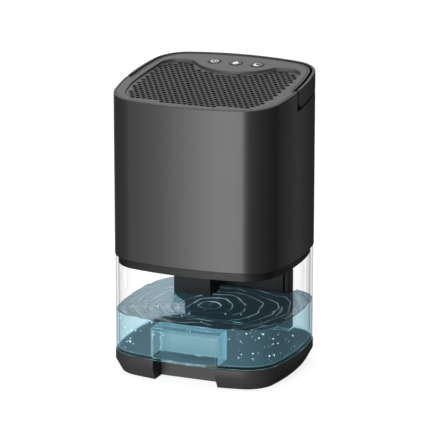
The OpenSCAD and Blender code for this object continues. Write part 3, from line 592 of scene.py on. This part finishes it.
def spinRound(bm, profile, steps):
    # turns a profile of (radius, height) points about the Z axis
    verts = [bm.verts.new((radius, 0, height)) for radius, height in profile]
    edges = [bm.edges.new(pair) for pair in zip(verts[:-1], verts[1:])]
    bmesh.ops.spin(bm, geom=verts + edges, cent=(0, 0, 0), axis=(0, 0, 1), angle=2 * math.pi,
                   steps=steps, use_merge=True)


def boxShape(bm, low, high):
    size = Vector(high) - Vector(low)
    middle = (Vector(high) + Vector(low)) / 2
    matrix = Matrix.Translation(middle) @ Matrix.Diagonal((*size, 1))
    bmesh.ops.create_cube(bm, size=1, matrix=matrix)


def cutBox(piece, low, high):
    bm = bmesh.new()
    boxShape(bm, low, high)
    cutAway(piece, meshObject("cutBox", bm, finishes["clear_tank"]))


copying = {"weld": 0.002 * mm, "flat": math.radians(0.4)}


def cleanCopy(node):
    # a merged copy of a CAD node with its flat faces joined again
    bm = bmesh.new()
    bm.from_mesh(frame["nodes"][node].data)
    bmesh.ops.remove_doubles(bm, verts=bm.verts[:], dist=copying["weld"])
    bmesh.ops.dissolve_limit(bm, angle_limit=copying["flat"], use_dissolve_boundaries=False,
                             verts=bm.verts[:], edges=bm.edges[:])
    return bm


def finishOfNode(node):
    return finishes["base_charcoal" if node == "base_tray" else slotOfNode[node]]


def roundedPiece(node, radius, segments=2, sharp=32.0, shortest=1.1 * mm, paintedLightMaterial=None, choose=None):
    # a finished shell: the node's own shape with its sharp edges rounded as a mould leaves them
    bm = cleanCopy(node)
    limit = math.radians(sharp)
    paired = [edge for edge in bm.edges if len(edge.link_faces) == 2 and edge.calc_length() > shortest]
    edges = [edge for edge in paired if edge.calc_face_angle(0) > limit]
    if edges:
        # with a paintedLightMaterial the rounded edges take it as a second finish, and choose may move
        # faces to it or back: painted highlights on the tank, painted shade on the grille's hole walls
        bmesh.ops.bevel(bm, geom=edges, offset=radius, offset_type="OFFSET", segments=segments,
                        profile=0.5, affect="EDGES", clamp_overlap=False,
                        material=1 if paintedLightMaterial else -1)
    if choose:
        bm.normal_update()
        for face in bm.faces:
            face.material_index = choose(face, face.material_index)
    piece = meshObject(node + ".shell", bm, finishOfNode(node))
    if paintedLightMaterial:
        piece.data.materials.append(paintedLightMaterial)
    flatten = piece.modifiers.new("evenShading", "WEIGHTED_NORMAL")
    flatten.keep_sharp = True
    return place(piece, bodyOfNode(node), [node])


roundings = {
    "head_casing": 0.6 * mm,
    "top_panel": 0.6 * mm,
    "handle": 0.6 * mm,
    "base_tray": 0.5 * mm,
    "rear_column": 0.3 * mm,
    "column_cover": 0.3 * mm,
    "tank_lid": 0.4 * mm,
    "float_cage": 0.3 * mm,
    "head_floor": 0.3 * mm,
    "base_cover": 0.3 * mm,
    "dc_jack": 0.15 * mm,
    "rubber_feet": 0.4 * mm,
    "fan_frame": 0.4 * mm,
    "heat_sink": 0.15 * mm,
    "cold_plate": 0.15 * mm,
    "drip_tray": 0.3 * mm,
    "float_block": 0.5 * mm,
}
for nodeName, radius in roundings.items():
    roundedPiece(nodeName, radius)
print("moulded shells:", len(roundings))


# Outlet grille: the punched plate, with the rim of each hole eased
grilleShape = {
    "rimWidth": 0.2 * mm,
    "sharp": 50.0,
    # the darker plastic of the hole walls is painted shade
    "walls": {"colour": (0.02, 0.02, 0.021), "roughness": 0.55, "specular": 0.2},
}
holeShade = mouldedPlastic("holeShade", grilleShape["walls"])


def holeShadeFaces(face, finish):
    # painted shade: the walls of the punched holes take a darker plastic than the plate's face, standing
    # for the shade inside the holes
    return 1 if abs(face.normal.z) < 0.5 else 0


roundedPiece("outlet_grille", grilleShape["rimWidth"], 1, grilleShape["sharp"], 0.0, holeShade,
             holeShadeFaces)
print("outlet grille done")


# Clear tank
tankShape = {
    "edge": 0.45 * mm,
    "sharp": 40.0,
    "shortest": 1.1 * mm,
    "outside": 0.5 * mm,
    "wall": 2.0 * mm,
    "gap": 0.05 * mm,
    "floor": 2.2 * mm,
    "lensEdge": 0.3 * mm,
}


def tankGlintFaces(face, finish):
    # painted highlights: the rounded edges below the water line and the sides of the floor take the tank's
    # painted glint finish, the edges above it stay clear
    height = face.calc_center_median().z
    if height < tankLow.z + tankShape["floor"] and abs(face.normal.z) < 0.8:
        return 1
    return finish if height < water["level"] else 0


clearTank = roundedPiece("water_tank", tankShape["edge"], 2, tankShape["sharp"], tankShape["shortest"],
                         tankEdgeMaterial(), tankGlintFaces)
clearTank.data.materials.append(finishes["tank_floor"])
for face in clearTank.data.polygons:
    # the ledge in front of the pocket, which the fingers pinch, takes the tank floor finish with its
    # painted glow
    beforePocket = abs(face.center.x) < water["pocketHalf"] and face.center.y < water["pocketBack"]
    if beforePocket and face.normal.z > 0.9 and face.center.z < tankLow.z + tankShape["floor"] + 1 * mm:
        face.material_index = 2
roundedPiece("tank_light_lens", tankShape["lensEdge"])
print("tank done")


def rippleHeight(x, y):
    dx, dy = x - water["centre"][0], y - water["centre"][1]
    distance = math.hypot(dx, dy)
    angle = math.atan2(dy, dx)
    waver = water["waver"] * (math.sin(3 * angle + 0.8) + 0.6 * math.sin(5 * angle + distance * 120))
    phase = 2 * math.pi * distance / water["ringLength"] + waver
    swell = math.cos(phase) * math.exp(-distance / water["fade"])
    swell += water["fineSwell"] * math.cos(phase * 2.1 + 1.3)
    chop = water["chop"] * math.sin(x * 190 + 2.1 * math.sin(y * 110)) * math.sin(y * 170 + 1.4)
    return water["ringHeight"] * (swell + chop) * min(1.0, distance / water["calmRadius"])


def waterPart(face):
    # 1 is the surface, 2 is the water round the pocket, 0 is the rest
    middle = face.calc_center_median()
    if face.normal.z > 0.6 and middle.z > water["level"] - 4 * mm:
        return 1
    beside = abs(middle.x) < water["pocketHalf"] + 3 * mm
    behind = water["pocketBack"] - 11 * mm < middle.y < water["pocketBack"] + 3 * mm
    below = middle.z < water["pocketTop"] + 3 * mm
    return 2 if beside and behind and below and abs(face.normal.z) < 0.5 else 0


def waveCutter():
    # everything above the wavy surface
    bm = bmesh.new()
    steps = water["surfaceSteps"]
    bmesh.ops.create_grid(bm, x_segments=steps, y_segments=steps, size=0.08)
    for vert in bm.verts:
        vert.co.z = water["level"] + rippleHeight(vert.co.x, vert.co.y)
    for vert in grownVerts(bm, bm.faces[:]):
        vert.co.z = water["level"] + 40 * mm
    return meshObject("cutSurface", bm, finishes["clear_tank"])


def buildWater():
    inset = tankShape["outside"] + water["wallShow"]
    bottom = tankLow.z + tankShape["floor"] + tankShape["gap"]
    bm = bmesh.new()
    extrudedOutline(bm, bodyOutline(inset), bottom, water["level"] + 8 * mm)
    piece = meshObject("tank_water", bm, finishes["clear_tank"])
    gap = tankShape["wall"] + tankShape["gap"]
    farOut, farUp = 2 * bodyPlan["halfDepth"], 0.2
    columnHalf, pocketHalf = water["columnHalf"] + gap, water["pocketHalf"] + gap
    cutBox(piece, (-columnHalf, water["columnFront"] - gap, 0), (columnHalf, farOut, farUp))
    pocketHigh = (pocketHalf, water["pocketBack"] + gap, water["pocketTop"] + gap)
    cutBox(piece, (-pocketHalf, -farOut, 0), pocketHigh)
    low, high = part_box("float_cage")
    room = water["cageRoom"]
    cutBox(piece, low - Vector((room, room, room)), (high.x + room, high.y + room, farUp))
    cutAway(piece, waveCutter())
    bm = bmesh.new()
    bm.from_mesh(piece.data)
    bmesh.ops.remove_doubles(bm, verts=bm.verts[:], dist=0.001 * mm)
    bm.normal_update()
    for face in bm.faces:
        face.material_index = waterPart(face)
        face.smooth = True
    for edge in bm.edges:
        edge.smooth = edge.calc_face_angle(0) < math.radians(50)
    piece.data.materials.clear()
    for part in ("body", "surface", "pocket"):
        piece.data.materials.append(waterMaterial(part))
    bm.to_mesh(piece.data)
    bm.free()
    return place(piece, "tank")


buildWater()

bubbles = {
    "onWall": 54,
    "inWater": 60,
    "small": 0.22 * mm,
    "large": 0.72 * mm,
    "seed": 11,
    "wallInset": 3.6 * mm,
    "lowest": 21 * mm,
    "belowSurface": 25 * mm,
}


def inTank(x, y, z):
    # clear of the pocket and of the tank's round corners
    inPocket = abs(x) < 28 * mm and y < -41 * mm and z < 43 * mm
    corner = math.hypot(max(abs(x) - 39 * mm, 0), max(abs(y) - 31 * mm, 0))
    return not inPocket and corner < 22 * mm


def buildBubbles():
    look = bubbles
    draw = random.Random(look["seed"])
    frontLine = [point for point in bodyOutline(look["wallInset"], 40, 40) if point[1] < 0]
    bm = bmesh.new()
    places = []
    while len(places) < look["onWall"]:
        x, y = frontLine[draw.randrange(len(frontLine))]
        z = look["lowest"] + (water["level"] - look["belowSurface"]) * draw.random() ** 1.4
        if abs(x) > water["pocketHalf"] + 3 * mm or z > water["pocketTop"] + 3 * mm:
            places.append((x, y, z))
    while len(places) < look["onWall"] + look["inWater"]:
        spot = draw.uniform(-0.055, 0.055), draw.uniform(-0.052, 0.010), draw.uniform(0.0205, 0.044)
        if inTank(*spot):
            places.append(spot)
    for spot in places:
        radius = look["small"] + (look["large"] - look["small"]) * draw.random() ** 2.5
        bmesh.ops.create_icosphere(bm, subdivisions=2, radius=radius, matrix=Matrix.Translation(spot))
    piece = meshObject("water_bubbles", bm, bubbleMaterial(), 180)
    return place(piece, "tank")


buildBubbles()
print("water done")


# Buttons: a grey cap in a black ring, with a white sign let into it
buttonShape = {
    "radius": 5.5 * mm,
    "ring": 1.1 * mm,
    "rise": 0.2 * mm,
    "height": 2.6 * mm,
    "edge": 0.25 * mm,
    "groove": 0.15 * mm,
    "lip": 0.02 * mm,  # the dish starts this far below the ring
    "dish": 0.25 * mm,
    "dishShares": (0.85, 0.7, 0.55, 0.4, 0.2),
    "pitch": 17.3 * mm,
    "y": 40.8 * mm,
    "signDepth": 0.06 * mm,
    "signScale": 1.3,
    "steps": 64,
}


def buildButton(index, node):
    s = buttonShape
    radius, top, inside = s["radius"], s["rise"], s["radius"] - s["ring"]
    dishRadius, dishTop = inside - s["groove"], top - s["lip"]
    profile = [
        (radius, top - s["height"]),
        (radius, top - s["edge"]),
        (radius - 0.08 * mm, top - 0.07 * mm),
        (radius - s["edge"], top),
        (inside, top),
        (inside - 0.05 * mm, top - s["groove"]),
        (dishRadius, dishTop),
    ]
    profile += [(dishRadius * share, dishTop - s["dish"] * (1 - share**2)) for share in s["dishShares"]]
    profile.append((0, dishTop - s["dish"]))
    bm = bmesh.new()
    spinRound(bm, profile, s["steps"])
    bmesh.ops.remove_doubles(bm, verts=bm.verts[:], dist=0.0001 * mm)
    bmesh.ops.edgeloop_fill(bm, edges=[edge for edge in bm.edges if edge.is_boundary])
    bmesh.ops.recalc_face_normals(bm, faces=bm.faces[:])
    for face in bm.faces:
        middle = face.calc_center_median()
        inDish = math.hypot(middle.x, middle.y) < inside - 0.04 * mm and middle.z > -0.5 * mm
        face.material_index = 1 if inDish else 0
    bm.transform(topFrame(index * s["pitch"], s["y"]))
    piece = meshObject(node + ".cap", bm, finishes["button_black"], 50)
    piece.data.materials.append(finishes["panel_grey"])
    return place(piece, bodyOfNode(node), [node])


def powerSign(bm, depth):
    # a broken ring with a bar in its gap
    look = {"outer": 2.3 * mm, "inner": 1.75 * mm, "gap": math.radians(32), "barHalf": 0.28 * mm,
            "barLow": 0.3 * mm, "barHigh": 2.6 * mm}
    start, end = math.pi / 2 + look["gap"], math.pi / 2 + 2 * math.pi - look["gap"]
    outside = arcPoints(0, 0, look["outer"], start, end, 40)
    inside = arcPoints(0, 0, look["inner"], end, start, 40)
    extrudedOutline(bm, outside + inside, 0, depth)
    half, low, high = look["barHalf"], look["barLow"], look["barHigh"]
    extrudedOutline(bm, [(-half, low), (half, low), (half, high), (-half, high)], 0, depth)


def dropSign(bm, depth):
    # a water drop: a round bottom that runs up to a point
    belly = arcPoints(0, -0.6 * mm, 1.7 * mm, math.radians(150), math.radians(390), 28)
    extrudedOutline(bm, belly + [(0, 2.5 * mm)], 0, depth)


def moonSign(bm, depth):
    # a crescent between two arcs that share their ends
    radius, x, y = 2.2 * mm, 1.1 * mm, 0.95 * mm
    start, end = math.radians(60), math.radians(330)
    outside = arcPoints(0, 0, radius, start, end, 36)
    first, last = [
        math.atan2(radius * math.sin(tip) - y, radius * math.cos(tip) - x) % (2 * math.pi)
        for tip in (end, start)
    ]
    reach = math.hypot(radius * math.cos(end) - x, radius * math.sin(end) - y)
    extrudedOutline(bm, outside + arcPoints(x, y, reach, first, last, 28), 0, depth)


signFinish = signMaterial()
signs = {"power_button": powerSign, "mode_button": dropSign, "night_button": moonSign}
for index, (node, sign) in enumerate(signs.items(), -1):
    buildButton(index, node)
    s = buttonShape
    bm = bmesh.new()
    sign(bm, s["signDepth"] + s["dish"])
    bm.transform(Matrix.Diagonal((s["signScale"], s["signScale"], 1, 1)))
    bm.transform(topFrame(index * s["pitch"], s["y"], s["rise"] - s["dish"]))
    place(meshObject(node + ".sign", bm, signFinish, 60), bodyOfNode(node))
print("buttons done")


# Fan rotor: seven cambered blades swept round a cupped hub
rotorShape = {
    "blades": 7,
    "hub": 15.0 * mm,
    "root": 0.6 * mm,  # how far a blade runs into the hub
    "tip": 36.9 * mm,
    "thickness": 1.1 * mm,
    "pitch": 36.0,
    "twist": 8,
    "chord": 15.5 * mm,
    "chordGrowth": 4.5 * mm,
    "camber": 1.6 * mm,
    "sweep": 0.35,
    "margin": 0.3 * mm,
}


def bladePoint(along, across, height):
    # along runs from root to tip, across from -0.5 to 0.5
    s = rotorShape
    start = s["hub"] - s["root"]
    radius = start + along * (s["tip"] - start)
    chord = (s["chord"] + s["chordGrowth"] * along) * across
    pitch = math.radians(s["pitch"] - s["twist"] * along)
    camber = s["camber"] * (1 - (2 * across) ** 2)
    side = chord * math.cos(pitch) - camber * math.sin(pitch)
    rise = chord * math.sin(pitch) + camber * math.cos(pitch)
    angle = side / radius + s["sweep"] * along
    limit = height / 2 - s["margin"]
    return Vector((radius * math.cos(angle), radius * math.sin(angle), max(-limit, min(limit, rise))))


def buildRotor():
    low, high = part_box("fan_rotor")
    height = high.z - low.z
    s = rotorShape
    hub = s["hub"]
    profile = [(1.6 * mm, 0), (hub - 0.6 * mm, 0), (hub, 0.6 * mm), (hub, height - 2 * mm),
               (hub - 0.5 * mm, height - 0.6 * mm), (hub - 2 * mm, height), (0, height)]
    bm = bmesh.new()
    spinRound(bm, [(radius, low.z + z) for radius, z in profile], 56)
    for blade in range(s["blades"]):
        part = bmesh.new()
        bmesh.ops.create_grid(part, x_segments=10, y_segments=10, size=0.5)
        for vert in part.verts:
            point = bladePoint(vert.co.x + 0.5, vert.co.y, height)
            vert.co = point + Vector((0, 0, low.z + height / 2))
        bmesh.ops.recalc_face_normals(part, faces=part.faces[:])
        bmesh.ops.solidify(part, geom=part.faces[:], thickness=s["thickness"])
        part.transform(Matrix.Rotation(blade * 2 * math.pi / s["blades"], 4, "Z"))
        mesh = bpy.data.meshes.new("blade")
        part.to_mesh(mesh)
        part.free()
        bm.from_mesh(mesh)
        bpy.data.meshes.remove(mesh)
    piece = meshObject("fan_rotor.blades", bm, finishes["fan_black"], 45)
    return place(piece, "fan", ["fan_rotor"])


buildRotor()
print("fan done")

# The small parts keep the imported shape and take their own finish
for nodeName, cadNode in frame["nodes"].items():
    if cadNode.hide_render:
        continue
    cadNode.data.materials.clear()
    cadNode.data.materials.append(finishes[slotOfNode[nodeName]])


# Floor, light and camera
def seenDirectly(tree):
    path = tree.nodes.new("ShaderNodeLightPath")
    return path.outputs["Is Camera Ray"]


def buildStage():
    look = {"size": 6.0, "colour": (0.45, 0.45, 0.45), "glow": 0.85, "roughness": 0.9, "specular": 0.1}
    bm = bmesh.new()
    bmesh.ops.create_grid(bm, x_segments=2, y_segments=2, size=look["size"] / 2)
    material, tree, shader = newMaterial("paleFloor")
    grain = noiseNode(tree, 3.0, 2.0)
    shade = mathNode(tree, "ADD", mathNode(tree, "MULTIPLY", grain, 0.02), 0.99)
    tree.links.new(shadedColour(tree, look["colour"], shade), shader.inputs["Base Color"])
    shader.inputs["Roughness"].default_value = look["roughness"]
    shader.inputs["Specular IOR Level"].default_value = look["specular"]
    shader.inputs["Emission Color"].default_value = (1, 1, 1, 1)
    glow = mathNode(tree, "MULTIPLY", seenDirectly(tree), look["glow"])
    tree.links.new(glow, shader.inputs["Emission Strength"])
    floor = meshObject("floor", bm, material)
    floor.visible_shadow = False
    floor.visible_glossy = False


def areaLight(name, position, target, size, power):
    lamp = bpy.data.lights.new(name, "AREA")
    lamp.shape = "RECTANGLE"
    lamp.size, lamp.size_y = size
    lamp.energy = power
    item = bpy.data.objects.new(name, lamp)
    item.location = position
    item.rotation_euler = (Vector(target) - Vector(position)).to_track_quat("-Z", "Y").to_euler()
    bpy.context.scene.collection.objects.link(item)


def around(azimuth, distance, height):
    # a point at this bearing from the front, positive towards +X
    a = math.radians(azimuth)
    return (distance * math.sin(a), -distance * math.cos(a), height)


def buildLights():
    middle = (0, 0, 0.12)
    # the front highlight: a row of tall panels that fade towards the left
    front = {"distance": 1.6, "width": 0.36, "height": 1.9, "level": -0.05,
             "panels": ((3, 15.0), (-10, 11.5), (-23, 5.6), (-36, 2.0), (-49, 1.1))}
    for number, (bearing, power) in enumerate(front["panels"]):
        areaLight(f"softboxFront{number}", around(bearing, front["distance"], front["level"]),
                  (0, 0, front["level"]), (front["width"], front["height"]), power)
    others = (  # name, position, size, power
        ("softboxTop", (0.0, 0.1, 1.6), (1.4, 1.4), 10),
        ("softboxBack", (-0.62, 1.32, 0.95), (1.3, 0.9), 4.2),
        ("softboxRight", around(150, 1.7, -0.2), (0.5, 1.2), 0.6),
        ("softboxBehind", around(215, 1.7, 0.15), (0.8, 1.1), 2.0),
    )
    for name, position, size, power in others:
        areaLight(name, position, middle, size, power)
    sky = {"light": 0.05, "seen": 0.97}
    world = bpy.data.worlds.new("studio")
    bpy.context.scene.world = world
    world.use_nodes = True
    tree = world.node_tree
    background = tree.nodes["Background"]
    background.inputs["Color"].default_value = (1, 1, 1, 1)
    seen = mathNode(tree, "MULTIPLY", seenDirectly(tree), sky["seen"])
    lit = mathNode(tree, "ADD", seen, sky["light"])
    tree.links.new(lit, background.inputs["Strength"])


def buildCamera():
    view = {"azimuth": 22.71, "elevation": 15.56, "distance": 2.1814, "aim": (0, 0, 0.1102),
            "drop": 0.0064, "lens": 242.8}
    a, e = math.radians(view["azimuth"]), math.radians(view["elevation"])
    back = Vector((math.sin(a) * math.cos(e), -math.cos(a) * math.cos(e), math.sin(e)))
    upward = Vector((-math.sin(a) * math.sin(e), math.cos(a) * math.sin(e), math.cos(e)))
    target = Vector(view["aim"])
    data = bpy.data.cameras.new("camera")
    data.lens = view["lens"]
    data.sensor_width = 36.0
    data.clip_end = 50
    item = bpy.data.objects.new("camera", data)
    item.location = target + back * view["distance"]
    aim = target + upward * view["drop"]
    item.rotation_euler = (aim - item.location).to_track_quat("-Z", "Y").to_euler()
    bpy.context.scene.collection.objects.link(item)
    bpy.context.scene.camera = item


buildStage()
buildLights()
buildCamera()
bpy.context.scene.view_settings.view_transform = "Standard"
print("stage done")
